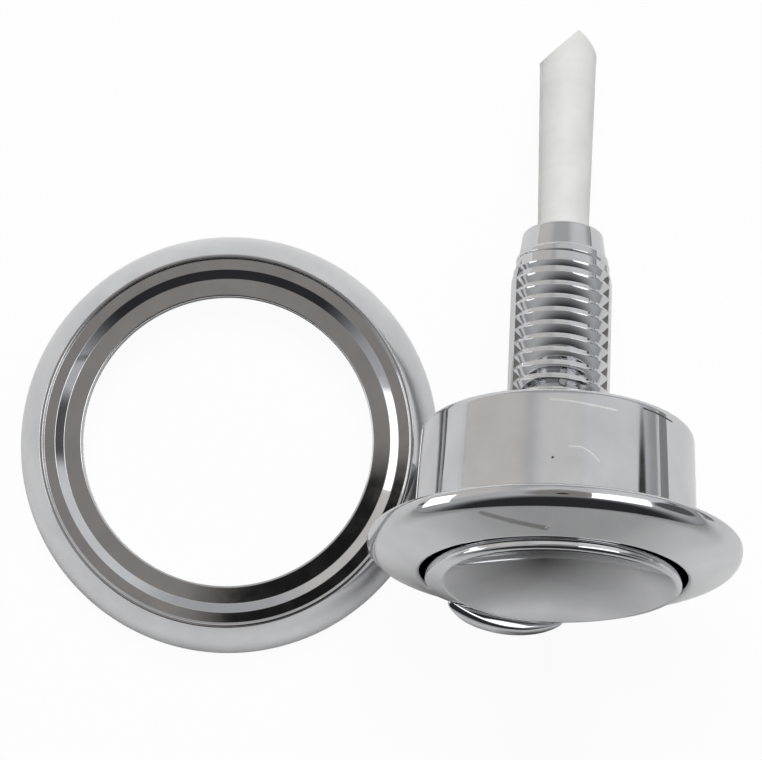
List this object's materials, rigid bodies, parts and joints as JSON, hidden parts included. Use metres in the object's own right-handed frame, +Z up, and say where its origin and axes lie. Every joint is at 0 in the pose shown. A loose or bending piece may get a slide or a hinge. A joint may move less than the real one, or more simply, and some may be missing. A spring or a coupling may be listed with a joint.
{
  "type": "push button cistern actuator",
  "caption": "Chrome push button for a cistern lid: domed flange, dished and raised flush buttons, threaded stem, push rods and a loose stepped adaptor ring.",
  "frame": {"origin": "middle of the set's outline on the table that it lies on", "axes": "+Z up from the table, +X from the ring towards the button, +Y along the stem towards the rods' points"},
  "size_m": [0.0998, 0.089, 0.0483],
  "materials": {
    "chrome_plate": "polished",
    "white_plastic": "satin",
    "spring_steel": "drawn wire"
  },
  "bodies": {
    "housing": {"housing": "chrome_plate", "adaptor_ring": "chrome_plate", "full_flush_spring_left": "spring_steel", "full_flush_spring_right": "spring_steel", "half_flush_spring": "spring_steel"},
    "full_flush": {"full_flush_button": "chrome_plate", "full_flush_rod": "white_plastic"},
    "half_flush": {"half_flush_button": "chrome_plate", "half_flush_rod": "white_plastic"}
  },
  "joints": [
    {"name": "full_flush_press", "type": "slide", "parent": "housing", "child": "full_flush", "axis": [0.0538, 0.9626, -0.2657], "range_m": [0, 0.005], "stiffness_N_per_m": 700, "springref_m": -0.004, "deforming": ["full_flush_spring_left", "full_flush_spring_right"]},
    {"name": "half_flush_press", "type": "slide", "parent": "housing", "child": "half_flush", "axis": [0.0538, 0.9626, -0.2657], "range_m": [0, 0.005], "stiffness_N_per_m": 450, "springref_m": -0.004, "deforming": ["half_flush_spring"]}
  ]
}
